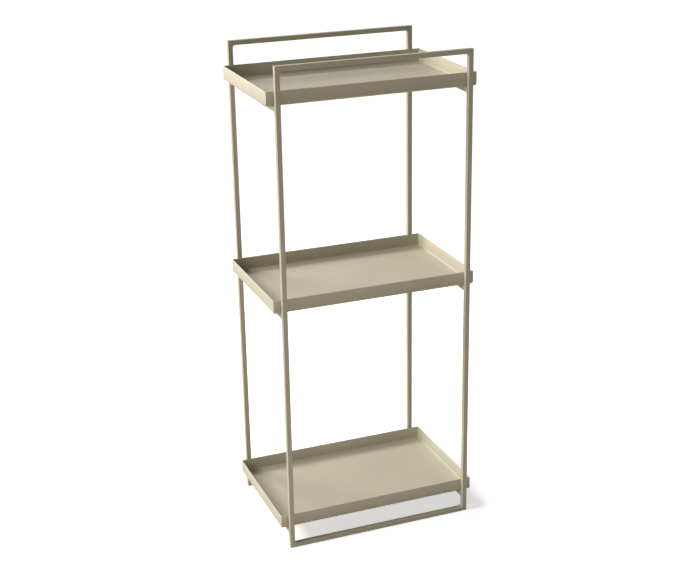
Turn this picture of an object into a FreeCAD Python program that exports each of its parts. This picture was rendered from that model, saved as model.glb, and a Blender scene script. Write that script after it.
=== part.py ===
import FreeCAD, Part
import math
import os

import Sketcher

# Shelving unit: two tall loops of square tube, joined under each of three folded trays by a
# left and a right rail. Millimetres, +Z up, +X to the right, the front at -Y. The origin lies
# on the floor, under the middle of the unit.

# Driving dimensions. Each is set by itself, and everything else is worked out from them.
SIZES = {
    # Loops and rails, all of one square tube.
    "frame_height": 1000,
    "frame_width": 402,
    "frame_depth": 298,
    "tube_side": 10,
    "tube_wall": 1.2,
    "tube_corner": 1,
    # Radii of the weld fillets in the loops' inner corners and under the rails' ends.
    "corner_weld": 5,
    "rail_weld": 4,
    # Trays of folded sheet. The gap is between a tray and the uprights in front of and behind it.
    "tray_overhang": 14,
    "tray_gap": 4,
    "tray_height": 28,
    "tray_sheet": 1.2,
    "tray_bend": 3,
    # Heights of the rims: down from the top of the loops, down from the top rim, up from the floor.
    "guard_height": 48,
    "upper_bay": 409,
    "bottom_rim": 70,
    # Threaded studs welded under the trays, and the nuts that clamp the trays to the rails.
    "stud_inset": 72,
    "stud_diameter": 4,
    "stud_end": 1,
    "nut_flats": 7,
    "nut_height": 3.2,
    # Clearances on the radius: between a stud and its nut, and between it and its rail.
    "thread_clearance": 0.05,
    "hole_clearance": 0.25,
}

# Height of each tray's rim above the floor.
TOP_RIM = "(Sizes.frame_height - Sizes.guard_height)"
RIMS = {
    "top": TOP_RIM,
    "middle": f"({TOP_RIM} - Sizes.upper_bay)",
    "bottom": "Sizes.bottom_rim",
}
LOOPS = {"front": "-", "rear": ""}
SIDES = {"left": "-", "right": ""}

# Sizes that several pieces share.
LOOP_Y = "(Sizes.frame_depth - Sizes.tube_side) / 2"
UPRIGHT_X = "(Sizes.frame_width - Sizes.tube_side) / 2"
RAIL_LENGTH = "(Sizes.frame_depth - 2 * Sizes.tube_side)"
STUD_SPACING = f"({RAIL_LENGTH} - 2 * Sizes.stud_inset)"
FLAT_WIDTH = "Sizes.tube_side - 2 * Sizes.tube_corner"

document = FreeCAD.newDocument("ShelvingUnit")


# Spreadsheet

def make_sheet():
    """One row for each driving dimension: its name, and its value under that alias."""
    cells = document.addObject("Spreadsheet::Sheet", "Sizes")
    for row, (name, value) in enumerate(SIZES.items(), start=1):
        cells.set(f"A{row}", name)
        cells.set(f"B{row}", str(value))
        cells.setAlias(f"B{row}", name)
    document.recompute()
    return cells


sheet = make_sheet()


def size(name):
    """A driving dimension as a number, to draw a sketch near its final shape."""
    return float(sheet.get(name))


# Bodies and sketches

def new_body(label):
    body = document.addObject("PartDesign::Body", label)
    body.Label = label
    body.AllowCompound = True
    return body


def place(body, x="0", y="0", z="0", rotation=None):
    """Puts a body in the unit. Each coordinate is an expression."""
    if rotation:
        body.Placement = FreeCAD.Placement(FreeCAD.Vector(), rotation)
    for axis, expression in zip("xyz", (x, y, z)):
        body.setExpression(f"Placement.Base.{axis}", expression)


def origin_part(body, role):
    """One of the body's own base planes or axes."""
    return next(part for part in body.Origin.OriginFeatures if part.Role == role)


def new_sketch(body, name, plane, **offset):
    """A sketch on one of the body's base planes. An offset x, y or z moves it in its own axes."""
    sketch = body.newObject("Sketcher::SketchObject", f"{body.Label}_{name}")
    sketch.AttachmentSupport = [(origin_part(body, plane), "")]
    sketch.MapMode = "FlatFace"
    for axis, expression in offset.items():
        sketch.setExpression(f"AttachmentOffset.Base.{axis}", expression)
    return sketch


def drive(sketch, name, expression, *constraint):
    """Adds a dimension to a sketch and ties it to an expression."""
    index = sketch.addConstraint(Sketcher.Constraint(*constraint))
    sketch.renameConstraint(index, name)
    sketch.setExpression(f"Constraints.{name}", expression)


def fix(sketch, *constraint):
    sketch.addConstraint(Sketcher.Constraint(*constraint))


def draw_outline(sketch, points, directions):
    """A closed outline of straight lines, each level, upright or, with None, free to slant."""
    first = sketch.GeometryCount
    corners = [FreeCAD.Vector(*point) for point in points]
    for start, end in zip(corners, corners[1:] + corners[:1]):
        sketch.addGeometry(Part.LineSegment(start, end), False)
    for step, direction in enumerate(directions):
        fix(sketch, "Coincident", first + step, 2, first + (step + 1) % len(corners), 1)
        if direction:
            fix(sketch, direction, first + step)
    return first


def draw_rectangle(sketch, width, height):
    """A rectangle about the sketch's origin."""
    half = size("tube_side")
    points = [(-half, -half), (half, -half), (half, half), (-half, half)]
    first = draw_outline(sketch, points, ("Horizontal", "Vertical") * 2)
    fix(sketch, "Symmetric", first, 1, first + 2, 1, -1, 1)
    drive(sketch, "width", width, "DistanceX", first, 1, first, 2, 2 * half)
    drive(sketch, "height", height, "DistanceY", first + 1, 1, first + 1, 2, 2 * half)


def draw_circle(sketch, name, radius, along=None):
    """A circle about the sketch's origin, or some way up its vertical axis."""
    start = FreeCAD.Vector(0, size("stud_inset") if along else 0, 0)
    ring = sketch.addGeometry(Part.Circle(start, FreeCAD.Vector(0, 0, 1), 1), False)
    drive(sketch, f"{name}_radius", radius, "Radius", ring, 1)
    if along:
        fix(sketch, "PointOnObject", ring, 3, -2)
        drive(sketch, f"{name}_along", along, "DistanceY", -1, 1, ring, 3, start.y)
    else:
        fix(sketch, "Coincident", ring, 3, -1, 1)


# Features

def pad(body, sketch, length, symmetric=False):
    feature = body.newObject("PartDesign::Pad", f"{sketch.Name}_pad")
    feature.Profile = sketch
    feature.setExpression("Length", length)
    feature.Midplane = symmetric
    document.recompute()
    return feature


def cut(body, sketch, symmetric=False):
    """Cuts a sketch out of the body, up from its plane or to both sides of it."""
    document.recompute()
    before = body.Shape.Volume
    feature = body.newObject("PartDesign::Pocket", f"{sketch.Name}_cut")
    feature.Profile = sketch
    feature.Type = "ThroughAll"
    feature.Midplane = symmetric
    feature.Reversed = not symmetric
    document.recompute()
    if body.Shape.Volume >= before:
        raise RuntimeError(f"{feature.Name} cuts nothing")
    return feature


def round_edges(body, base, name, radius, wanted):
    """Fillets the edges of the base feature that the test picks."""
    edges = enumerate(base.Shape.Edges, start=1)
    picked = [f"Edge{number}" for number, edge in edges if wanted(edge)]
    feature = body.newObject("PartDesign::Fillet", f"{body.Label}_{name}")
    feature.Base = (base, picked)
    feature.setExpression("Radius", radius)
    document.recompute()
    return feature


def repeat_at_corners(body, length, depth):
    """Repeats the whole body at the four corners of a rectangle, from its first corner on."""
    feature = body.newObject("PartDesign::LinearPattern", f"{body.Label}_repeat")
    feature.TransformMode = "Whole shape"
    feature.Direction = (origin_part(body, "X_Axis"), [""])
    feature.setExpression("Length", length)
    feature.Occurrences = 2
    feature.Direction2 = (origin_part(body, "Y_Axis"), [""])
    feature.setExpression("Length2", depth)
    feature.Occurrences2 = 2
    body.Tip = feature


def mirror(body, plane):
    """Adds the whole body's mirror image in one of its base planes."""
    feature = body.newObject("PartDesign::Mirrored", f"{body.Label}_{plane}_mirror")
    feature.TransformMode = "Whole shape"
    feature.MirrorPlane = (origin_part(body, plane), [""])
    body.Tip = feature
    document.recompute()


# Square tube

def is_long_edge(edge):
    """True for a straight edge along the tube, which is its body's Z."""
    ends = [vertex.Point for vertex in edge.Vertexes]
    along = abs(ends[-1].z - ends[0].z)
    return len(ends) == 2 and along > 0.99 * edge.Length


def make_tube(label, length, end_cut=None):
    """A length of tube up Z from the origin. With an end cut its +X side is the short one."""
    body = new_body(label)
    outline = new_sketch(body, "outline", "XZ_Plane")
    half = size("tube_side") / 2
    step = 2 * half if end_cut else 0
    far = 10 * half
    points = [(-half, 0), (half, step), (half, far - step), (-half, far)]
    end = None if end_cut else "Horizontal"
    line = draw_outline(outline, points, (end, "Vertical", end, "Vertical"))
    fix(outline, "PointOnObject", line, 1, -1)
    drive(outline, "half_side", "Sizes.tube_side / 2", "DistanceX", line, 1, -1, 1, half)
    drive(outline, "side", "Sizes.tube_side", "DistanceX", line, 1, line, 2, 2 * half)
    drive(outline, "length", length, "DistanceY", line + 3, 2, line + 3, 1, far)
    if end_cut:
        drive(outline, "near_cut", end_cut, "DistanceY", line, 1, line, 2, step)
        drive(outline, "far_cut", end_cut, "DistanceY", line + 2, 1, line + 2, 2, step)
    block = pad(body, outline, "Sizes.tube_side", symmetric=True)
    round_edges(body, block, "corners", "Sizes.tube_corner", is_long_edge)
    bore = new_sketch(body, "bore", "XY_Plane")
    inside = "Sizes.tube_side - 2 * Sizes.tube_wall"
    draw_rectangle(bore, inside, inside)
    cut(body, bore)
    return body


def make_loop(loop, sign):
    """Two uprights and two bars, mitred into a closed rectangle."""
    y = f"{sign}{LOOP_Y}"
    height = "Sizes.frame_height"
    width = "Sizes.frame_width"
    mitre = "Sizes.tube_side"
    half_turn = FreeCAD.Rotation(FreeCAD.Vector(0, 0, 1), 180)
    top_turn = FreeCAD.Rotation(FreeCAD.Vector(0, 1, 0), 90)
    bottom_turn = FreeCAD.Rotation(FreeCAD.Vector(1, 0, 1), 180)
    upright = make_tube(f"{loop}_left_upright", height, mitre)
    place(upright, f"-{UPRIGHT_X}", y)
    upright = make_tube(f"{loop}_right_upright", height, mitre)
    place(upright, UPRIGHT_X, y, rotation=half_turn)
    bar = make_tube(f"{loop}_top_bar", width, mitre)
    place(bar, f"-{width} / 2", y, f"{height} - Sizes.tube_side / 2", top_turn)
    bar = make_tube(f"{loop}_bottom_bar", width, mitre)
    place(bar, f"-{width} / 2", y, "Sizes.tube_side / 2", bottom_turn)


# Welds

def draw_weld(sketch, radius, start, turn):
    """A fillet between two square faces that meet at the sketch's origin.

    One face runs to +x and the other, by turn, up or down. start is the radius to begin from.
    """
    corner = FreeCAD.Vector(0, 0)
    across = FreeCAD.Vector(start, 0)
    along = FreeCAD.Vector(0, turn * start)
    centre = across + along
    middle = centre * (1 - math.sqrt(0.5))
    flat = sketch.addGeometry(Part.LineSegment(corner, across), False)
    wall = sketch.addGeometry(Part.LineSegment(corner, along), False)
    face = sketch.addGeometry(Part.Arc(across, middle, along), False)
    fix(sketch, "PointOnObject", flat, 2, -1)
    fix(sketch, "PointOnObject", wall, 2, -2)
    for line in (flat, wall):
        fix(sketch, "Coincident", line, 1, -1, 1)
    first, last = (1, 2) if turn < 0 else (2, 1)
    fix(sketch, "Coincident", face, first, flat, 2)
    fix(sketch, "Coincident", face, last, wall, 2)
    fix(sketch, "Vertical", face, 3, flat, 2)
    fix(sketch, "Horizontal", face, 3, wall, 2)
    drive(sketch, "radius", radius, "DistanceX", -1, 1, flat, 2, start)


def make_corner_welds(loop, sign):
    """One fillet in each inner corner of a loop."""
    body = new_body(f"{loop}_corner_welds")
    place(body, y=f"{sign}{LOOP_Y}", z="Sizes.frame_height / 2")
    left = "Sizes.tube_side - Sizes.frame_width / 2"
    bottom = "Sizes.tube_side - Sizes.frame_height / 2"
    fillet = new_sketch(body, "fillet", "XZ_Plane", x=left, y=bottom)
    draw_weld(fillet, "Sizes.corner_weld", size("corner_weld"), 1)
    pad(body, fillet, FLAT_WIDTH, symmetric=True)
    mirror(body, "YZ_Plane")
    mirror(body, "XY_Plane")


def make_rail_welds(level, rail_bottom):
    """One fillet under each end of a tray's two rails."""
    body = new_body(f"{level}_rail_welds")
    place(body, z=rail_bottom)
    fillet = new_sketch(body, "fillet", "YZ_Plane", x=f"-{RAIL_LENGTH} / 2", z=f"-{UPRIGHT_X}")
    draw_weld(fillet, "Sizes.rail_weld", size("rail_weld"), -1)
    pad(body, fillet, FLAT_WIDTH, symmetric=True)
    mirror(body, "YZ_Plane")
    mirror(body, "XZ_Plane")


# Rails

def make_rail(label, x, z):
    """A rail from the front loop to the rear one, with holes for the studs of its tray."""
    body = make_tube(label, RAIL_LENGTH)
    lie_down = FreeCAD.Rotation(FreeCAD.Vector(1, 0, 0), -90)
    place(body, x, f"-{RAIL_LENGTH} / 2", z, lie_down)
    holes = new_sketch(body, "holes", "XZ_Plane")
    radius = "Sizes.stud_diameter / 2 + Sizes.hole_clearance"
    draw_circle(holes, "near", radius, "Sizes.stud_inset")
    draw_circle(holes, "far", radius, f"{RAIL_LENGTH} - Sizes.stud_inset")
    cut(body, holes, symmetric=True)


# Trays

def make_tray(label, z):
    """A sheet folded up on all four sides, its bends mitred and its corners welded shut."""
    body = new_body(label)
    place(body, z=z)
    length = "Sizes.frame_width + 2 * Sizes.tray_overhang"
    depth = f"{RAIL_LENGTH} - 2 * Sizes.tray_gap"
    outside = new_sketch(body, "outside", "XY_Plane")
    draw_rectangle(outside, length, depth)
    pad(body, outside, "Sizes.tray_height")
    inside = new_sketch(body, "inside", "XY_Plane", z="Sizes.tray_sheet")
    draw_rectangle(inside, f"{length} - 2 * Sizes.tray_sheet", f"{depth} - 2 * Sizes.tray_sheet")
    folded = cut(body, inside)
    outer_bend = "Sizes.tray_bend + Sizes.tray_sheet"
    folded = round_edges(body, folded, "outer_bends", outer_bend, is_level_edge(0))
    floor = is_level_edge(size("tray_sheet"))
    round_edges(body, folded, "inner_bends", "Sizes.tray_bend", floor)


def is_level_edge(height):
    """A test for edges that lie flat at a height in the body's own frame."""
    def test(edge):
        return all(abs(vertex.Point.z - height) < 1e-4 for vertex in edge.Vertexes)
    return test


# Fasteners

def make_studs(label, z):
    """Threaded studs, welded to the underside of a tray. Their lower ends are at z."""
    body = new_body(label)
    place(body, f"-{UPRIGHT_X}", f"-{STUD_SPACING} / 2", z)
    shank = new_sketch(body, "shank", "XY_Plane")
    draw_circle(shank, "shank", "Sizes.stud_diameter / 2")
    pad(body, shank, "Sizes.stud_end + Sizes.nut_height + Sizes.tube_side")
    repeat_at_corners(body, f"2 * {UPRIGHT_X}", STUD_SPACING)


def make_nuts(label, z):
    """Hex nuts, each standing on z."""
    body = new_body(label)
    place(body, f"-{UPRIGHT_X}", f"-{STUD_SPACING} / 2", z)
    prism = body.newObject("PartDesign::AdditivePrism", f"{label}_prism")
    prism.Polygon = 6
    prism.setExpression("Circumradius", "Sizes.nut_flats / 2 / cos(30)")
    prism.setExpression("Height", "Sizes.nut_height")
    thread = new_sketch(body, "thread", "XY_Plane")
    draw_circle(thread, "bore", "Sizes.stud_diameter / 2 + Sizes.thread_clearance")
    cut(body, thread)
    repeat_at_corners(body, f"2 * {UPRIGHT_X}", STUD_SPACING)


# The unit

def make_level(level, rim):
    """A tray with the rails that carry it and what holds it down."""
    tray_bottom = f"{rim} - Sizes.tray_height"
    rail_bottom = f"{tray_bottom} - Sizes.tube_side"
    rail_centre = f"{tray_bottom} - Sizes.tube_side / 2"
    for side, sign in SIDES.items():
        make_rail(f"{level}_{side}_rail", f"{sign}{UPRIGHT_X}", rail_centre)
    make_rail_welds(level, rail_bottom)
    make_tray(f"{level}_tray", tray_bottom)
    nut_bottom = f"{rail_bottom} - Sizes.nut_height"
    make_studs(f"{level}_tray_studs", f"{nut_bottom} - Sizes.stud_end")
    make_nuts(f"{level}_tray_nuts", nut_bottom)


def check(bodies):
    """Stops if any object failed, or any piece is missing, broken or without volume."""
    for item in document.Objects:
        if "Invalid" in item.State or "Error" in item.State:
            raise RuntimeError(f"{item.Name} failed: {item.State}")
    for body in bodies:
        shape = body.Shape
        if shape.isNull() or not shape.isValid() or shape.Volume <= 0:
            raise RuntimeError(f"{body.Label} has no sound shape")


def main():
    for loop, sign in LOOPS.items():
        make_loop(loop, sign)
        make_corner_welds(loop, sign)
    for level, rim in RIMS.items():
        make_level(level, rim)
    document.recompute()
    bodies = [item for item in document.Objects if item.TypeId == "PartDesign::Body"]
    check(bodies)
    os.makedirs("parts", exist_ok=True)
    for body in bodies:
        body.Shape.exportStep(f"parts/{body.Label}.step")
        box = body.Shape.BoundBox
        low = f"({box.XMin:.1f}, {box.YMin:.1f}, {box.ZMin:.1f})"
        high = f"({box.XMax:.1f}, {box.YMax:.1f}, {box.ZMax:.1f})"
        solids = len(body.Shape.Solids)
        print(f"{body.Label}: {solids} solid(s), {body.Shape.Volume:.1f} mm3, {low} to {high}")


main()
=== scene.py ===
# %% [markdown]
# # A shelving unit of welded tube and folded trays
# Two tall loops of square steel tube stand at the front and the rear of this unit. Short rails
# join them at three heights, and on each pair of rails lies a tray folded from thin sheet. All of
# that has one low-sheen powder coat. Only the nuts and studs under the trays are plated.
#
# The model arrives from CAD at its real size, and that size is fixed. This lesson dresses it: it
# makes the paint, rebuilds each piece with the soft edges, weld beads and threads that light
# catches, and then lights the unit. Lengths are metres, +Z is up, and the front of the unit
# faces -Y.

# %% Load the model
import math

import bmesh
import bpy
from mathutils import Matrix, Vector


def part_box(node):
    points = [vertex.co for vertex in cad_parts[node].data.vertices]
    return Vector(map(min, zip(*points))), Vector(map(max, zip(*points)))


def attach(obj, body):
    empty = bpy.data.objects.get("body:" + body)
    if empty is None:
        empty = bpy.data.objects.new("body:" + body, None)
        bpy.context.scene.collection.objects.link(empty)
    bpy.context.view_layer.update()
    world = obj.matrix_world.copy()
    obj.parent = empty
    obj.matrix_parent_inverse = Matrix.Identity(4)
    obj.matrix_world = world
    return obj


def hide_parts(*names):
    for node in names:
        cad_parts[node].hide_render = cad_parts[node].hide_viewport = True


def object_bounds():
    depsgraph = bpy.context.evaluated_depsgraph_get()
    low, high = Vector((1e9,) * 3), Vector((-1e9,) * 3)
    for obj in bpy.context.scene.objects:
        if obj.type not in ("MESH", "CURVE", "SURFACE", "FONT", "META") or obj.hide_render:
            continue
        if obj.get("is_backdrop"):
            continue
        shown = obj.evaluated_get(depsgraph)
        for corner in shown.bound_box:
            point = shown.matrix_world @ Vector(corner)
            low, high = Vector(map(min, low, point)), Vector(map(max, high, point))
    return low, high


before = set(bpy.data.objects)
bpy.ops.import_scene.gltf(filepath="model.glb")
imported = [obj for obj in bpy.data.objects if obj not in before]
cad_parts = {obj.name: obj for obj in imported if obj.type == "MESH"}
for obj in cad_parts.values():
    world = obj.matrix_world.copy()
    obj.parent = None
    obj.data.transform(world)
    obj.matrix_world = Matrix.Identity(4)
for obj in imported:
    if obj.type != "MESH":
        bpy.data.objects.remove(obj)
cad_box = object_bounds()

MM = 0.001
LEVELS = ("top", "middle", "bottom")
print(len(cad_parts), "CAD nodes in a box of", cad_box)

# %% [markdown]
# ## The camera
# The photograph was taken from the left front with a long lens. The camera stood at about one and
# a half times the height of the unit and looked down. Its place and angles were worked out from
# where the corners of the loops and trays lie in the picture, so that the same corners fall on
# the same spots here.

# %% Camera
camera_lens = bpy.data.cameras.new("Camera")
camera_lens.sensor_width = 36
camera_lens.lens = 70.42
camera = bpy.data.objects.new("Camera", camera_lens)
bpy.context.scene.collection.objects.link(camera)
turned_right = math.radians(21.360)
tilted_down = math.radians(20.489)
leaned_over = math.radians(-0.9225)
camera_turn = (Matrix.Rotation(-turned_right, 3, "Z")
               @ Matrix.Rotation(math.pi / 2 - tilted_down, 3, "X")
               @ Matrix.Rotation(leaned_over, 3, "Z"))
camera_place = Vector((-0.97548, -2.48720, 1.48682))
camera.matrix_world = Matrix.LocRotScale(camera_place, camera_turn, None)
bpy.context.scene.camera = camera
print("camera", round(camera_place.length, 2), "m from the foot of the unit")

# %% [markdown]
# ## Adding nodes
# Materials and Geometry Nodes trees are both graphs of nodes, so one small function serves both.
# It adds a node, sets what is said about it, and fills its inputs: a plain value is typed in,
# and the output of another node is linked. A material or a world comes with a few nodes of its
# own, and `empty_tree` clears them away first.


# %% Add a node
def add_node(tree, kind, inputs=None, **settings):
    node = tree.nodes.new(kind)
    for name, value in settings.items():
        setattr(node, name, value)
    for socket, value in (inputs or {}).items():
        if isinstance(value, bpy.types.NodeSocket):
            tree.links.new(value, node.inputs[socket])
        else:
            node.inputs[socket].default_value = value
    return node


def empty_tree(owner):
    owner.use_nodes = True
    owner.node_tree.nodes.clear()
    return owner.node_tree


# %% [markdown]
# ## Colour
# Colours are written as the hex values that a colour picker reads off a screen. Blender computes
# with light, which is linear, so one function turns the one into the other.


# %% Hex to linear
def linear(hex_colour):
    values = [int(hex_colour[place:place + 2], 16) / 255 for place in (1, 3, 5)]
    curve = [v / 12.92 if v <= 0.04045 else ((v + 0.055) / 1.055) ** 2.4 for v in values]
    return (*curve, 1.0)


print("mid grey is", linear("#808080")[:3])

# %% [markdown]
# ## Powder-coated steel
# Powder coat is dry polyester paint, sprayed on as a charged dust and baked until it flows. It
# hides the steel, so the shader is not metallic: it is a plastic with little shine and an IOR of
# 1.5. Baking leaves a faint orange peel, with swells a few millimetres wide, and the powder's
# grain gives a much finer tooth. The real grain is about 0.1 mm, too fine for the picture, so it
# is drawn at 0.8 mm. The coat draws back a little from every sharp edge while it is molten, and
# is slightly smoother there. Along that line the colour is also painted paler: a painted
# highlight, for the light that the rounded edges and rims catch. A vertex attribute called
# "edge" says where it lies.
#
# The patterns read Object coordinates. All pieces share one origin, so the grain runs on
# unbroken from tube to tube, as it does on a frame that was coated after welding. Blender's noise
# seldom leaves the span from 0.3 to 0.7, so that span is what each pattern is stretched from.

# %% Powder coat, colour and relief
PEEL_DEPTH = 0.04 * MM
GRAIN_DEPTH = 0.025 * MM
RELIEF_STRENGTH = 0.6
NOISE_SPAN = {"From Min": 0.3, "From Max": 0.7}


def coat_colour(tree, colour, highlight_colour, cloud, grain, edge):
    """The colour of the coat: a little cloudy, flecked by its grain, and given a painted highlight
    along its edges.
    """
    shade = add_node(tree, "ShaderNodeMapRange",
                     {"Value": cloud, "To Min": 0.97, "To Max": 1.03, **NOISE_SPAN})
    fleck = add_node(tree, "ShaderNodeMapRange",
                     {"Value": grain, "To Min": 0.975, "To Max": 1.025, **NOISE_SPAN})
    uneven = add_node(tree, "ShaderNodeMath",
                      {0: shade.outputs["Result"], 1: fleck.outputs["Result"]},
                      operation="MULTIPLY")
    # Painted highlight: along the edges the colour is mixed towards the paler one.
    painted_edge_highlight = add_node(tree, "ShaderNodeMix",
                    {"Factor": edge, "A": linear(colour), "B": linear(highlight_colour)},
                    data_type="RGBA")
    tinted = add_node(tree, "ShaderNodeVectorMath",
                      {0: painted_edge_highlight.outputs["Result"], "Scale": uneven.outputs["Value"]},
                      operation="SCALE")
    return tinted.outputs["Vector"]


def coat_relief(tree, peel, grain):
    """The relief of the coat: the swells of the orange peel, with the tooth of the grain."""
    swells = add_node(tree, "ShaderNodeBump",
                      {"Height": peel, "Strength": RELIEF_STRENGTH, "Distance": PEEL_DEPTH})
    tooth = add_node(tree, "ShaderNodeBump",
                     {"Height": grain, "Strength": RELIEF_STRENGTH, "Distance": GRAIN_DEPTH,
                      "Normal": swells.outputs["Normal"]})
    return tooth.outputs["Normal"]


# %% [markdown]
# Three noises of different widths feed those two functions. The peel also changes the roughness
# a little from swell to swell, which breaks up the sheen.

# %% Powder-coated steel
CLOUD_WIDTH = 90 * MM
PEEL_WIDTH = 4.0 * MM
GRAIN_WIDTH = 0.8 * MM
SMOOTHER_EDGE = 0.08


def powder_coated_steel(name, colour, highlight_colour):
    coat = bpy.data.materials.new(name)
    tree = empty_tree(coat)
    place = add_node(tree, "ShaderNodeTexCoord").outputs["Object"]
    edge = add_node(tree, "ShaderNodeAttribute", attribute_name="edge").outputs["Fac"]
    cloud, peel, grain = [
        add_node(tree, "ShaderNodeTexNoise",
                 {"Vector": place, "Scale": 1 / width, "Detail": detail}).outputs["Fac"]
        for width, detail in ((CLOUD_WIDTH, 2.0), (PEEL_WIDTH, 1.0), (GRAIN_WIDTH, 2.0))]
    sheen = add_node(tree, "ShaderNodeMapRange",
                     {"Value": peel, "To Min": 0.62, "To Max": 0.72, **NOISE_SPAN})
    rough = add_node(tree, "ShaderNodeMath",
                     {0: edge, 1: -SMOOTHER_EDGE, 2: sheen.outputs["Result"]},
                     operation="MULTIPLY_ADD")
    paint = add_node(tree, "ShaderNodeBsdfPrincipled",
                     {"Base Color": coat_colour(tree, colour, highlight_colour, cloud, grain, edge),
                      "Metallic": 0.0, "IOR": 1.5, "Roughness": rough.outputs["Value"],
                      "Normal": coat_relief(tree, peel, grain)})
    add_node(tree, "ShaderNodeOutputMaterial", {"Surface": paint.outputs["BSDF"]})
    return coat


# The second colour is the painted highlight along the edges and rims.
olive_beige = powder_coated_steel("powder-coated steel", "#B6B09A", "#C5BEA8")
print(olive_beige.name, "has", len(olive_beige.node_tree.nodes), "nodes")

# %% [markdown]
# ## Turning mesh data into pieces
# The tubes, trays and nuts of this unit are built as lists of rings of points, joined ring to
# ring like the hoops of a barrel. `join_rings` does that. A closed path, such as a loop of tube,
# joins its last ring to its first. An open one gets a cap at each end.


# %% Rings to mesh
def join_rings(name, rings, path_closed):
    """A mesh through rings of (x, y, z, edge) points."""
    mesh = bmesh.new()
    edge_layer = mesh.verts.layers.float.new("edge")
    rows = []
    for ring in rings:
        row = [mesh.verts.new(point[:3]) for point in ring]
        for vertex, point in zip(row, ring):
            vertex[edge_layer] = point[3]
        rows.append(row)
    count = len(rows[0])
    pairs = list(zip(rows, rows[1:]))
    if path_closed:
        pairs.append((rows[-1], rows[0]))
    else:
        mesh.faces.new(rows[0])
        mesh.faces.new(rows[-1])
    for row, following in pairs:
        for step in range(count):
            after = (step + 1) % count
            mesh.faces.new((row[step], row[after], following[after], following[step]))
    bmesh.ops.recalc_face_normals(mesh, faces=mesh.faces)
    data = bpy.data.meshes.new(name)
    mesh.to_mesh(data)
    mesh.free()
    return data


# %% [markdown]
# `add_piece` turns a mesh into an object that takes the place of one or more CAD nodes. Smooth
# shading averages the directions of the faces round a point, which would make the flats of a
# tube look blown up. A Weighted Normal modifier at full weight lets the large faces win, so they
# stay flat and only the small faces round an edge turn the light. Edges sharper than 40 degrees,
# such as the end of a rail, are marked as sharp and are not smoothed at all.

# %% Mesh to piece
SHARP_ANGLE = math.radians(40)
FULL_WEIGHT = 100


def add_piece(name, mesh, slot, *nodes):
    piece = bpy.data.objects.new(name, mesh)
    bpy.context.scene.collection.objects.link(piece)
    mesh.shade_smooth()
    mesh.set_sharp_from_angle(angle=SHARP_ANGLE)
    even = piece.modifiers.new("flat stays flat", "WEIGHTED_NORMAL")
    even.weight = FULL_WEIGHT
    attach(piece, "root")
    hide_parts(*nodes)
    print(name, "has", len(mesh.polygons), "faces and stands for", ", ".join(nodes))


# %% [markdown]
# ## The section of the tube
# The whole frame is 10 mm square tube. Such tube is rolled to shape, so its long edges are
# rounded, here to 1 mm. The section is drawn once as a list of points, and both the loops and the
# rails are swept from it.
#
# The section, the loops and the trays are all rectangles with rounded corners. `round_corners`
# steps round such a shape for all three. Two signs name the corner, and each step has its angle
# and its share of the corner's arc.

# %% Tube section
upright_low, upright_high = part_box("front_left_upright")
TUBE_SIDE = upright_high.x - upright_low.x
TUBE_CORNER = 1.0 * MM
ARC_STEPS = 6


def round_corners(steps):
    for quarter, (right, up) in enumerate(((1, 1), (-1, 1), (-1, -1), (1, -1))):
        for step in range(steps + 1):
            share = step / steps
            yield right, up, math.radians(90 * (quarter + share)), share


def tube_section():
    """(across, up, edge) round the tube, edge being 1 in the middle of each rounded edge."""
    inner = TUBE_SIDE / 2 - TUBE_CORNER
    return [(right * inner + TUBE_CORNER * math.cos(angle),
             up * inner + TUBE_CORNER * math.sin(angle),
             math.sin(math.pi * share))
            for right, up, angle, share in round_corners(ARC_STEPS)]


print("tube", round(TUBE_SIDE / MM, 2), "mm square,", len(tube_section()), "points round it")

# %% [markdown]
# ## The loops
# Each loop is four lengths of tube, mitred, welded and ground, and no seam shows through the
# paint. What does show is that the weld fills the inside corners with a 5 mm radius, while the
# outside corners are ground almost sharp. A Bevel modifier or Curve to Mesh would give the inside
# and the outside the same centre, so the rings are placed one by one: every point of the section
# runs round the corner on an arc of its own, from 1 mm outside to 5 mm inside.

# %% Loops
OUTSIDE_RADIUS = 1.0 * MM
INSIDE_RADIUS = 5.0 * MM
CORNER_STEPS = 8


def loop_rings(low, high):
    centre = (low + high) / 2
    half_width = (high.x - low.x - TUBE_SIDE) / 2
    half_height = (high.z - low.z - TUBE_SIDE) / 2
    rings = []
    for right, up, angle, _ in round_corners(CORNER_STEPS):
        ring = []
        for outward, across, edge in tube_section():
            share = outward / TUBE_SIDE + 0.5
            radius = INSIDE_RADIUS + (OUTSIDE_RADIUS - INSIDE_RADIUS) * share
            ring.append((
                centre.x + right * (half_width + outward - radius) + radius * math.cos(angle),
                centre.y + across,
                centre.z + up * (half_height + outward - radius) + radius * math.sin(angle),
                edge))
        rings.append(ring)
    return rings


for loop in ("front", "rear"):
    nodes = [f"{loop}_{part}" for part in
             ("left_upright", "right_upright", "top_bar", "bottom_bar", "corner_welds")]
    boxes = [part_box(node) for node in nodes]
    low = Vector(min(box[0][axis] for box in boxes) for axis in range(3))
    high = Vector(max(box[1][axis] for box in boxes) for axis in range(3))
    mesh = join_rings(f"{loop}_loop", loop_rings(low, high), path_closed=True)
    mesh.materials.append(olive_beige)
    add_piece(f"{loop}_loop", mesh, "frame_paint", *nodes)

# %% [markdown]
# ## The rails
# A rail is a plain length of the same tube, butted against the uprights. The uprights' edges are
# rounded, which would leave a notch at the joint. On the real frame the weld fills it, and it is
# ground flush. Here each rail simply runs on for the depth of that rounding.

# %% Rails
for level in LEVELS:
    for side in ("left", "right"):
        node = f"{level}_{side}_rail"
        low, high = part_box(node)
        middle = (low + high) / 2
        ends = (low.y - TUBE_CORNER, high.y + TUBE_CORNER)
        rings = [[(middle.x + across, end, middle.z + up, edge)
                  for across, up, edge in tube_section()] for end in ends]
        mesh = join_rings(node, rings, path_closed=False)
        mesh.materials.append(olive_beige)
        add_piece(f"{node}_tube", mesh, "frame_paint", node)

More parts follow.
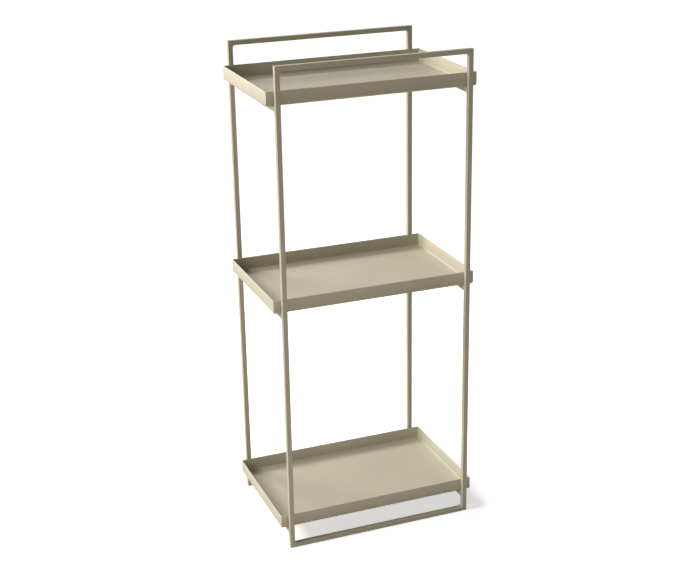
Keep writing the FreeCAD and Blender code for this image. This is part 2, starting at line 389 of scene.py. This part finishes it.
# %% [markdown]
# ## The trays
# A tray starts as a flat sheet with its four corners notched out. The edges are folded up in a
# press, the corners welded and ground, and the paint covers the seams. So the wall looks the
# same all the way round: a bend below, of 3 mm inside and a sheet's thickness more outside,
# and a cut edge on top that is only eased by the paint.
#
# The section of that wall is drawn once, from the underside round the bend, up, over the rim and
# down again inside.

# %% Tray section
SHEET = 1.2 * MM
BEND = 3.0 * MM
BEND_STEPS = 8
RIM_EASE = 0.35 * MM
RIM_STEPS = 3


def arc(inset, height, radius, start, end, steps):
    angles = [math.radians(start + (end - start) * step / steps) for step in range(steps + 1)]
    return [(inset + radius * math.cos(a), height + radius * math.sin(a)) for a in angles]


def wall_section(height):
    """(inset, height, edge) up the outside of a tray's wall and down its inside."""
    outer = BEND + SHEET
    under = [(*point, 0.0) for point in arc(outer, outer, outer, -90, -180, BEND_STEPS)]
    rim = arc(RIM_EASE, height - RIM_EASE, RIM_EASE, 180, 90, RIM_STEPS)
    rim += arc(SHEET - RIM_EASE, height - RIM_EASE, RIM_EASE, 90, 0, RIM_STEPS)
    top = [(*point, 1.0) for point in rim]
    inside = [(*point, 0.0) for point in arc(outer, outer, BEND, 180, 270, BEND_STEPS)]
    return under + top + inside


tray_low, tray_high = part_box("top_tray")
tray_height = tray_high.z - tray_low.z
print("a tray's wall is", round(tray_height / MM, 2), "mm high, with",
      len(wall_section(tray_height)), "points in its section")

# %% [markdown]
# Each point of the section becomes one ring round the tray, and the two caps are the underside
# and the floor. Seen from above, a ring is a rectangle whose corners are barely rounded. Those
# corners are the ground seams, and they are a little rounder outside than inside.

# %% Trays
SEAM_OUTSIDE = 0.9 * MM
SEAM_INSIDE = 0.7 * MM
SEAM_STEPS = 4


def tray_rings(low, high):
    centre = (low + high) / 2
    rings = []
    for inset, height, edge in wall_section(high.z - low.z):
        share = min(1.0, inset / SHEET)
        radius = SEAM_OUTSIDE + (SEAM_INSIDE - SEAM_OUTSIDE) * share
        half_length = (high.x - low.x) / 2 - inset - radius
        half_depth = (high.y - low.y) / 2 - inset - radius
        rings.append([(centre.x + right * half_length + radius * math.cos(angle),
                       centre.y + back * half_depth + radius * math.sin(angle),
                       low.z + height, edge)
                      for right, back, angle, _ in round_corners(SEAM_STEPS)])
    return rings


for level in LEVELS:
    node = f"{level}_tray"
    mesh = join_rings(f"{node}_sheet", tray_rings(*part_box(node)), path_closed=False)
    mesh.materials.append(olive_beige)
    add_piece(f"{node}_sheet", mesh, "tray_paint", node)

# %% [markdown]
# ## Running a Geometry Nodes tree
# Welds, nuts and studs repeat, so Geometry Nodes make them. `new_tree` opens a tree with named
# inputs, and `finish_tree` ends it with real geometry in one material. `grow` runs a tree on a
# start mesh, sets each input by its identifier before anything is evaluated, and hands back a
# plain mesh, with no modifier left on it.

# %% Geometry Nodes helpers
SOCKETS = {"size": "NodeSocketFloat", "share": "NodeSocketFloat", "count": "NodeSocketInt",
           "place": "NodeSocketVector", "material": "NodeSocketMaterial"}


def new_tree(name, inputs):
    tree = bpy.data.node_groups.new(name, "GeometryNodeTree")
    tree.interface.new_socket("Geometry", in_out="INPUT", socket_type="NodeSocketGeometry")
    tree.interface.new_socket("Geometry", in_out="OUTPUT", socket_type="NodeSocketGeometry")
    for label, kind in inputs.items():
        tree.interface.new_socket(label, in_out="INPUT", socket_type=SOCKETS[kind])
    return tree, tree.nodes.new("NodeGroupInput").outputs


def finish_tree(tree, geometry, material):
    real = add_node(tree, "GeometryNodeRealizeInstances", {"Geometry": geometry})
    painted = add_node(tree, "GeometryNodeSetMaterial",
                       {"Geometry": real.outputs["Geometry"], "Material": material})
    add_node(tree, "NodeGroupOutput", {"Geometry": painted.outputs["Geometry"]})


def grow(name, tree, start, values):
    host = bpy.data.objects.new(name, start)
    bpy.context.scene.collection.objects.link(host)
    modifier = host.modifiers.new(name, "NODES")
    modifier.node_group = tree
    for socket in tree.interface.items_tree:
        if socket.name in values:
            modifier[socket.identifier] = values[socket.name]
    graph = bpy.context.evaluated_depsgraph_get()
    mesh = bpy.data.meshes.new_from_object(host.evaluated_get(graph))
    mesh.name = name
    bpy.data.objects.remove(host)
    return mesh


# %% [markdown]
# ## The four places of a rectangle
# Each level has four weld beads, four studs and four nuts, and each four lie at the corners of a
# rectangle. A grid of two by two points is that rectangle, and Instance on Points sets one copy
# of the shape on each point. How the copies are turned is left to the caller.


# %% Four places
def at_four_places(tree, shape, length, depth, place, turn):
    corners = add_node(tree, "GeometryNodeMeshGrid",
                       {"Size X": length, "Size Y": depth, "Vertices X": 2, "Vertices Y": 2})
    moved = add_node(tree, "GeometryNodeTransform",
                     {"Geometry": corners.outputs["Mesh"], "Translation": place})
    return add_node(tree, "GeometryNodeInstanceOnPoints",
                    {"Points": moved.outputs["Geometry"], "Instance": shape,
                     "Rotation": turn}).outputs["Instances"]


# %% [markdown]
# ## The beads under the rails
# A fillet weld is laid across the underside of each rail's end. In section it fills the corner
# between the rail and the upright, and its free face is a little hollow. The section is drawn as
# a closed outline of edges, because a tree can take a mesh in and turn its edges into a curve.

# %% Weld beads, section
FILLET_STEPS = 6


def fillet_section(leg):
    """A closed outline of edges: the corner, and a hollow face from the upright to the rail."""
    points = [(0.0, 0.0, 0.0)]
    for step in range(FILLET_STEPS + 1):
        angle = math.radians(90 * step / FILLET_STEPS)
        points.append((leg * (math.cos(angle) - 1), leg * (1 - math.sin(angle)), 0.0))
    mesh = bpy.data.meshes.new("fillet section")
    mesh.from_pydata(points, [(p, (p + 1) % len(points)) for p in range(len(points))], [])
    return mesh


# %% [markdown]
# A welder's torch moves in small steps, and each step freezes as a ripple. The bead is the
# section swept along a short line, and a sine wave in the scale of the section makes the ripples.

# %% Weld beads, ripples
RIPPLE = 1.1 * MM
RIPPLE_HEIGHT = 0.05
BEAD_FULLNESS = 0.9
BEAD_POINTS = 60

bead_tree, bead = new_tree("weld bead", {
    "Width": "size", "Ripple": "size", "Ripple height": "share", "Rail spacing": "size",
    "Joint spacing": "size", "Place": "place", "Paint": "material"})
half = add_node(bead_tree, "ShaderNodeMath", {0: bead["Width"], 1: 0.5}, operation="MULTIPLY")
minus = add_node(bead_tree, "ShaderNodeMath", {0: bead["Width"], 1: -0.5}, operation="MULTIPLY")
start = add_node(bead_tree, "ShaderNodeCombineXYZ", {"X": minus.outputs["Value"]})
end = add_node(bead_tree, "ShaderNodeCombineXYZ", {"X": half.outputs["Value"]})
line = add_node(bead_tree, "GeometryNodeCurvePrimitiveLine",
                {"Start": start.outputs["Vector"], "End": end.outputs["Vector"]})
fine = add_node(bead_tree, "GeometryNodeResampleCurve",
                {"Curve": line.outputs["Curve"], "Count": BEAD_POINTS})
along = add_node(bead_tree, "GeometryNodeSplineParameter")
waves = add_node(bead_tree, "ShaderNodeMath",
                 {0: along.outputs["Length"], 1: bead["Ripple"]}, operation="DIVIDE")
phase = add_node(bead_tree, "ShaderNodeMath",
                 {0: waves.outputs["Value"], 1: 2 * math.pi}, operation="MULTIPLY")
wave = add_node(bead_tree, "ShaderNodeMath", {0: phase.outputs["Value"]}, operation="SINE")
ripple = add_node(bead_tree, "ShaderNodeMath",
                  {0: wave.outputs["Value"], 1: bead["Ripple height"], 2: BEAD_FULLNESS},
                  operation="MULTIPLY_ADD")
print("weld bead tree so far:", len(bead_tree.nodes), "nodes")

# %% [markdown]
# A bead swells from nothing and runs out to nothing. Half a sine wave over its whole length does
# that, but would make it pointed. A power well below 1 lifts the wave, so that both ends are
# blunt, as those of a real bead are.

# %% Weld beads, blunt ends
END_POWER = 0.2

half_wave = add_node(bead_tree, "ShaderNodeMath",
                     {0: along.outputs["Factor"], 1: math.pi}, operation="MULTIPLY")
dome = add_node(bead_tree, "ShaderNodeMath", {0: half_wave.outputs["Value"]}, operation="SINE")
blunt = add_node(bead_tree, "ShaderNodeMath",
                 {0: dome.outputs["Value"], 1: END_POWER}, operation="POWER")
swell = add_node(bead_tree, "ShaderNodeMath",
                 {0: ripple.outputs["Value"], 1: blunt.outputs["Value"]}, operation="MULTIPLY")
section = add_node(bead_tree, "GeometryNodeMeshToCurve", {"Mesh": bead["Geometry"]})
swept = add_node(bead_tree, "GeometryNodeCurveToMesh",
                 {"Curve": fine.outputs["Curve"], "Profile Curve": section.outputs["Curve"],
                  "Scale": swell.outputs["Value"], "Fill Caps": True})
print("weld bead tree:", len(bead_tree.nodes), "nodes")

# %% [markdown]
# The tree so far makes one bead, lying across the origin. The grid puts it at the four joints of
# a level, and a comparison of each point's Y with zero turns the two rear beads half round, so
# that each faces its own upright.

# %% Weld beads in place
spot = add_node(bead_tree, "GeometryNodeInputPosition").outputs["Position"]
spot_y = add_node(bead_tree, "ShaderNodeSeparateXYZ", {"Vector": spot}).outputs["Y"]
is_rear = add_node(bead_tree, "ShaderNodeMath", {0: spot_y, 1: 0.0}, operation="GREATER_THAN")
half_turn = add_node(bead_tree, "ShaderNodeMath",
                     {0: is_rear.outputs["Value"], 1: math.pi}, operation="MULTIPLY")
facing = add_node(bead_tree, "ShaderNodeCombineXYZ", {"Z": half_turn.outputs["Value"]})
beads = at_four_places(bead_tree, swept.outputs["Mesh"], bead["Rail spacing"],
                       bead["Joint spacing"], bead["Place"], facing.outputs["Vector"])
finish_tree(bead_tree, beads, bead["Paint"])

for level in LEVELS:
    node = f"{level}_rail_welds"
    low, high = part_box(node)
    rail_low, rail_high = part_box(f"{level}_right_rail")
    rail_middle = (rail_low + rail_high) / 2
    mesh = grow(f"{node}_beads", bead_tree, fillet_section(high.z - low.z), {
        "Width": TUBE_SIDE - TUBE_CORNER, "Ripple": RIPPLE, "Ripple height": RIPPLE_HEIGHT,
        "Rail spacing": 2 * rail_middle.x, "Joint spacing": high.y - low.y,
        "Place": (0.0, 0.0, high.z), "Paint": olive_beige})
    add_piece(f"{node}_beads", mesh, "frame_paint", node)

# %% [markdown]
# ## Zinc-plated steel
# The nuts and studs are plated with zinc after they are made. Zinc is a metal, so metallic is 1
# and the colour is that of its reflection: a light, slightly blue grey. Plating in a barrel leaves
# it cloudy rather than mirror-bright, which is drawn as a tone and a roughness that change over a
# millimetre or two. The parts also scratch each other as they tumble. The scratches are stretched
# noise, drawn 0.25 mm wide, because real ones are too fine to show.

# %% Zinc-plated steel
TUMBLE_WIDTH = 1.5 * MM
SCRATCH_WIDTH = 0.25 * MM
SCRATCH_DEPTH = 0.01 * MM
SCRATCH_STRETCH = (1.0, 0.15, 1.0)


def zinc_plated_steel(name, colour):
    plating = bpy.data.materials.new(name)
    tree = empty_tree(plating)
    place = add_node(tree, "ShaderNodeTexCoord").outputs["Object"]
    cloudy = add_node(tree, "ShaderNodeTexNoise",
                      {"Vector": place, "Scale": 1 / TUMBLE_WIDTH, "Detail": 3.0})
    lengthened = add_node(tree, "ShaderNodeMapping", {"Vector": place, "Scale": SCRATCH_STRETCH})
    scratches = add_node(tree, "ShaderNodeTexNoise",
                         {"Vector": lengthened.outputs["Vector"], "Scale": 1 / SCRATCH_WIDTH})
    tone = add_node(tree, "ShaderNodeMapRange",
                    {"Value": cloudy.outputs["Fac"], "To Min": 0.9, "To Max": 1.05, **NOISE_SPAN})
    tinted = add_node(tree, "ShaderNodeVectorMath",
                      {0: linear(colour)[:3], "Scale": tone.outputs["Result"]},
                      operation="SCALE")
    rough = add_node(tree, "ShaderNodeMapRange",
                     {"Value": cloudy.outputs["Fac"], "To Min": 0.28, "To Max": 0.45,
                      **NOISE_SPAN})
    relief = add_node(tree, "ShaderNodeBump",
                      {"Height": scratches.outputs["Fac"], "Strength": 0.4,
                       "Distance": SCRATCH_DEPTH})
    metal = add_node(tree, "ShaderNodeBsdfPrincipled",
                     {"Base Color": tinted.outputs["Vector"], "Metallic": 1.0,
                      "Roughness": rough.outputs["Result"], "Normal": relief.outputs["Normal"]})
    add_node(tree, "ShaderNodeOutputMaterial", {"Surface": metal.outputs["BSDF"]})
    return plating


zinc = zinc_plated_steel("zinc-plated steel", "#C4C9CE")
print(zinc.name, "has", len(zinc.node_tree.nodes), "nodes")

# %% [markdown]
# ## The nuts
# A hex nut is cut from hexagonal bar, and a 30 degree chamfer is turned on both ends. Where the
# cone of that chamfer crosses the flats, it leaves the curved edges that make a nut look like one.
# A Bevel modifier would cut the corners straight, so the mesh follows the real rule: at each
# angle the flats give the radius, and the chamfer's drop grows with that radius. That gives one
# section of eight points for each angle. The first points of all the sections are one ring, the
# second points are the next, and so on.

# %% Nut
NUT_FLATS = 7.0 * MM
STUD_DIAMETER = 4.0 * MM
NUT_CLEARANCE = 0.05 * MM
COUNTERSINK = 0.3 * MM
CHAMFER_START = 0.95 * NUT_FLATS / 2
CHAMFER_SLOPE = math.tan(math.radians(30))
FLAT_TO_FLAT = math.radians(60)
NUT_STEPS = 72


def nut_rings(height):
    bore = STUD_DIAMETER / 2 + NUT_CLEARANCE
    mouth = bore + COUNTERSINK
    sections = []
    for step in range(NUT_STEPS):
        angle = 2 * math.pi * step / NUT_STEPS
        from_flat = angle % FLAT_TO_FLAT - FLAT_TO_FLAT / 2
        hexagon = NUT_FLATS / 2 / math.cos(from_flat)
        drop = (hexagon - CHAMFER_START) * CHAMFER_SLOPE
        section = ((bore, COUNTERSINK), (bore, height - COUNTERSINK), (mouth, height),
                   (CHAMFER_START, height), (hexagon, height - drop), (hexagon, drop),
                   (CHAMFER_START, 0.0), (mouth, 0.0))
        sections.append([(radius * math.cos(angle), radius * math.sin(angle), z, 0.0)
                         for radius, z in section])
    return list(zip(*sections))


nut_low, nut_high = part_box("top_tray_nuts")
nut_shape = join_rings("hex nut", nut_rings(nut_high.z - nut_low.z), path_closed=True)
print("nut", round((nut_high.z - nut_low.z) / MM, 2), "mm high,", len(nut_shape.polygons), "faces")

# %% [markdown]
# Four nuts hold each tray. Nobody lines up the flats of a nut when it is tightened, so each one
# gets a turn of its own, up to one flat further round, from a random value with a fixed seed.

# %% Nuts in place
FIRST_SEED = 4

nut_tree, nut = new_tree("nuts under a tray", {
    "Rail spacing": "size", "Stud spacing": "size", "Place": "place", "Seed": "count",
    "Plating": "material"})
tightened = add_node(nut_tree, "FunctionNodeRandomValue",
                     {"Max": FLAT_TO_FLAT, "Seed": nut["Seed"]}, data_type="FLOAT")
nut_turn = add_node(nut_tree, "ShaderNodeCombineXYZ", {"Z": tightened.outputs["Value"]})
nuts = at_four_places(nut_tree, nut["Geometry"], nut["Rail spacing"], nut["Stud spacing"],
                      nut["Place"], nut_turn.outputs["Vector"])
finish_tree(nut_tree, nuts, nut["Plating"])

for seed, level in enumerate(LEVELS, start=FIRST_SEED):
    node = f"{level}_tray_nuts"
    nut_low, nut_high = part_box(node)
    stud_low, stud_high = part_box(f"{level}_tray_studs")
    spacing = stud_high - stud_low - Vector((STUD_DIAMETER, STUD_DIAMETER, 0))
    mesh = grow(f"{node}_hex", nut_tree, nut_shape, {
        "Rail spacing": spacing.x, "Stud spacing": spacing.y, "Place": (0.0, 0.0, nut_low.z),
        "Seed": seed, "Plating": zinc})
    add_piece(f"{node}_hex", mesh, "zinc_steel", node)

# %% [markdown]
# ## The studs
# A threaded stud is welded under the tray, drops through the rail and takes the nut. Its thread
# is rolled: a ridge that climbs 0.7 mm in each turn. Geometry Nodes have a Spiral curve, and a
# small diamond swept along it, half sunk in a core, is that ridge. Its scale runs to nothing at
# both ends, as a rolled thread does.

# %% Studs
THREAD_PITCH = 0.7 * MM
THREAD_STEPS = 20
RIDGE = 0.3 * MM
RUN_OUT = 0.04
CORE_SIDES = 24

stud_tree, stud = new_tree("studs under a tray", {
    "Length": "size", "Core": "size", "Ridge": "size", "Pitch": "size",
    "Rail spacing": "size", "Stud spacing": "size", "Place": "place", "Plating": "material"})
climb = add_node(stud_tree, "ShaderNodeMath",
                 {0: stud["Ridge"], 1: -2.0, 2: stud["Length"]}, operation="MULTIPLY_ADD")
turns = add_node(stud_tree, "ShaderNodeMath",
                 {0: climb.outputs["Value"], 1: stud["Pitch"]}, operation="DIVIDE")
helix = add_node(stud_tree, "GeometryNodeCurveSpiral",
                 {"Resolution": THREAD_STEPS, "Rotations": turns.outputs["Value"],
                  "Start Radius": stud["Core"], "End Radius": stud["Core"],
                  "Height": climb.outputs["Value"]})
diamond = add_node(stud_tree, "GeometryNodeCurvePrimitiveCircle",
                   {"Resolution": 4, "Radius": stud["Ridge"]})
run = add_node(stud_tree, "GeometryNodeSplineParameter").outputs["Factor"]
from_ends = add_node(stud_tree, "ShaderNodeMath", {0: run, 1: 0.5}, operation="PINGPONG")
fade = add_node(stud_tree, "ShaderNodeMath",
                {0: from_ends.outputs["Value"], 1: 1 / RUN_OUT}, operation="MULTIPLY",
                use_clamp=True)
ridge = add_node(stud_tree, "GeometryNodeCurveToMesh",
                 {"Curve": helix.outputs["Curve"], "Profile Curve": diamond.outputs["Curve"],
                  "Scale": fade.outputs["Value"], "Fill Caps": True})
core = add_node(stud_tree, "GeometryNodeMeshCylinder",
                {"Vertices": CORE_SIDES, "Radius": stud["Core"], "Depth": stud["Length"]})
print("stud tree so far:", len(stud_tree.nodes), "nodes")

# %% [markdown]
# A cylinder is made round the origin and a spiral stands on it. So the core moves up by half its
# length, and the ridge by its own height, which leaves it clear of both ends of the core. Joined,
# they are one stud, and four of them stand straight under each tray.

# %% Studs in place
core_middle = add_node(stud_tree, "ShaderNodeMath",
                       {0: stud["Length"], 1: 0.5}, operation="MULTIPLY")
core_up = add_node(stud_tree, "ShaderNodeCombineXYZ", {"Z": core_middle.outputs["Value"]})
ridge_up = add_node(stud_tree, "ShaderNodeCombineXYZ", {"Z": stud["Ridge"]})
raised_core = add_node(stud_tree, "GeometryNodeTransform",
                       {"Geometry": core.outputs["Mesh"],
                        "Translation": core_up.outputs["Vector"]})
raised_ridge = add_node(stud_tree, "GeometryNodeTransform",
                        {"Geometry": ridge.outputs["Mesh"],
                         "Translation": ridge_up.outputs["Vector"]})
one_stud = add_node(stud_tree, "GeometryNodeJoinGeometry",
                    {"Geometry": raised_core.outputs["Geometry"]})
stud_tree.links.new(raised_ridge.outputs["Geometry"], one_stud.inputs["Geometry"])
studs = at_four_places(stud_tree, one_stud.outputs["Geometry"], stud["Rail spacing"],
                       stud["Stud spacing"], stud["Place"], turn=(0.0, 0.0, 0.0))
finish_tree(stud_tree, studs, stud["Plating"])

for level in LEVELS:
    node = f"{level}_tray_studs"
    low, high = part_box(node)
    spacing = high - low - Vector((STUD_DIAMETER, STUD_DIAMETER, 0))
    mesh = grow(f"{node}_threaded", stud_tree, bpy.data.meshes.new("empty"), {
        "Length": high.z - low.z, "Core": STUD_DIAMETER / 2 - RIDGE, "Ridge": RIDGE,
        "Pitch": THREAD_PITCH, "Rail spacing": spacing.x, "Stud spacing": spacing.y,
        "Place": (0.0, 0.0, low.z), "Plating": zinc})
    add_piece(f"{node}_threaded", mesh, "zinc_steel", node)

# %% [markdown]
# ## The floor
# The unit stands on a plain pale floor, one square so wide that its edges are far outside the
# picture. The camera looks down and sees nothing but that floor, so it is the background too.

# %% Floor
FLOOR_REACH = 30.0

floor_mesh = bpy.data.meshes.new("floor")
floor_mesh.from_pydata([(x * FLOOR_REACH, y * FLOOR_REACH, 0.0)
                        for x, y in ((-1, -1), (1, -1), (1, 1), (-1, 1))], [], [(0, 1, 2, 3)])
floor = bpy.data.objects.new("floor", floor_mesh)
bpy.context.scene.collection.objects.link(floor)
floor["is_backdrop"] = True
print("floor", 2 * FLOOR_REACH, "m wide")

# %% [markdown]
# The floor has to come out white without any more light on the unit, and a Light Path node does
# that, because it tells rays apart. To the camera, to reflections and to rays that pass through
# glass the floor is a white surface that also glows with 0.6 of full white. So it is white in the
# open, and pale grey where the unit shades it. To light that bounces on to the unit it is a warm
# grey, as a studio floor is beyond the paper under the object, and that keeps the front as dark as
# it is in the photograph.

# %% Floor material
FLOOR_GLOW = 0.6


def seen_directly(tree):
    """1 for a ray from the camera, off a reflection or through glass, and 0 for any other."""
    ray = add_node(tree, "ShaderNodeLightPath").outputs
    direct = add_node(tree, "ShaderNodeMath",
                      {0: ray["Is Camera Ray"], 1: ray["Is Glossy Ray"]}, operation="MAXIMUM")
    seen = add_node(tree, "ShaderNodeMath",
                    {0: direct.outputs["Value"], 1: ray["Is Transmission Ray"]},
                    operation="MAXIMUM")
    return seen.outputs["Value"]


studio_floor = bpy.data.materials.new("studio floor")
floor_tree = empty_tree(studio_floor)
paper = add_node(floor_tree, "ShaderNodeBsdfDiffuse", {"Color": linear("#F3F3F3")})
glow = add_node(floor_tree, "ShaderNodeEmission", {"Strength": FLOOR_GLOW})
white_floor = add_node(floor_tree, "ShaderNodeAddShader",
                       {0: paper.outputs["BSDF"], 1: glow.outputs["Emission"]})
bounced = add_node(floor_tree, "ShaderNodeBsdfDiffuse", {"Color": linear("#BCA99A")})
floor_look = add_node(floor_tree, "ShaderNodeMixShader",
                      {0: seen_directly(floor_tree), 1: bounced.outputs["BSDF"],
                       2: white_floor.outputs["Shader"]})
add_node(floor_tree, "ShaderNodeOutputMaterial", {"Surface": floor_look.outputs["Shader"]})
floor_mesh.materials.append(studio_floor)
print(studio_floor.name, "has", len(floor_tree.nodes), "nodes")

# %% [markdown]
# ## The lamps
# The photograph's brightest faces look left and its front faces are dark, so the light comes from
# the left and from behind. Three lamps are suns, whose light is equally strong at every height.
# The angle of a sun is how wide it looks. At 15 degrees it draws a soft dark line behind a tray's
# left wall, as in the photograph, and at 20 degrees the rear wall's shadow fades over a wider
# strip. The third is very wide and weak, comes from the left front, and lifts the shade there.
# Only the direction of a sun counts, so it can hang anywhere.

# %% Suns
SUN_PLACE = (0.0, 0.0, 2.0)


def link_lamp(lamp, place, turn):
    holder = bpy.data.objects.new(lamp.name, lamp)
    bpy.context.scene.collection.objects.link(holder)
    holder.location = place
    holder.rotation_euler = turn


def wide_sun(name, azimuth, elevation, width, strength):
    """Light from azimuth degrees left of the front, elevation up, and width degrees wide."""
    lamp = bpy.data.lights.new(name, "SUN")
    lamp.energy = strength
    lamp.angle = math.radians(width)
    turn = (math.radians(90 - elevation), 0.0, -math.radians(azimuth))
    link_lamp(lamp, SUN_PLACE, turn)


wide_sun("side light", azimuth=90, elevation=35, width=15, strength=1.32)
wide_sun("rear light", azimuth=150, elevation=38, width=20, strength=1.32)
wide_sun("front light", azimuth=50, elevation=15, width=60, strength=0.32)
print("suns:", [light.name for light in bpy.data.lights])

# %% [markdown]
# The other three lamps are square softboxes near the unit, whose light falls off with distance.
# The one at the left makes the upper walls brighter than the lower ones, and the one at the rear
# lights the trays' floors. A weak one near the floor lifts the shade on the lower front.


# %% Softboxes
def softbox(name, azimuth, distance, height, side, aim, power):
    """A square lamp that faces the unit at the height called aim."""
    lamp = bpy.data.lights.new(name, "AREA")
    lamp.shape = "SQUARE"
    lamp.size = side
    lamp.energy = power
    angle = math.radians(azimuth)
    place = Vector((-math.sin(angle) * distance, -math.cos(angle) * distance, height))
    facing = Vector((0.0, 0.0, aim)) - place
    link_lamp(lamp, place, facing.to_track_quat("-Z", "Y").to_euler())


softbox("left softbox", azimuth=95, distance=1.4, height=1.2, side=1.0, aim=0.6, power=9.8)
softbox("rear softbox", azimuth=155, distance=1.5, height=1.5, side=1.0, aim=0.5, power=18.0)
softbox("low softbox", azimuth=15, distance=1.4, height=0.25, side=0.7, aim=0.3, power=3.7)
print("all lamps:", [light.name for light in bpy.data.lights])

# %% [markdown]
# ## The world
# Beyond the floor lies the world. It is white to the same three kinds of rays, so that the zinc
# has a white room to mirror, and almost black to all others, so that it adds next to no light.

# %% World
WORLD_LIGHT = 0.02

world = bpy.data.worlds.new("studio")
bpy.context.scene.world = world
world_tree = empty_tree(world)
world_strength = add_node(world_tree, "ShaderNodeMapRange",
                          {"Value": seen_directly(world_tree), "To Min": WORLD_LIGHT,
                           "To Max": 1.0})
backdrop = add_node(world_tree, "ShaderNodeBackground",
                    {"Color": linear("#FFFFFF"), "Strength": world_strength.outputs["Result"]})
add_node(world_tree, "ShaderNodeOutputWorld", {"Surface": backdrop.outputs["Background"]})
bpy.context.scene.view_settings.view_transform = "Standard"
print("world nodes:", len(world_tree.nodes))

# %% [markdown]
# ## The two boxes
# The dressed model should stay inside the CAD model's box, and both boxes are printed.

# %% Boxes and finish
dressed_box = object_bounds()
boxes = {"cad": [list(corner) for corner in cad_box],
         "dressed": [list(corner) for corner in dressed_box]}
print("CAD box", boxes["cad"], "dressed box", boxes["dressed"])
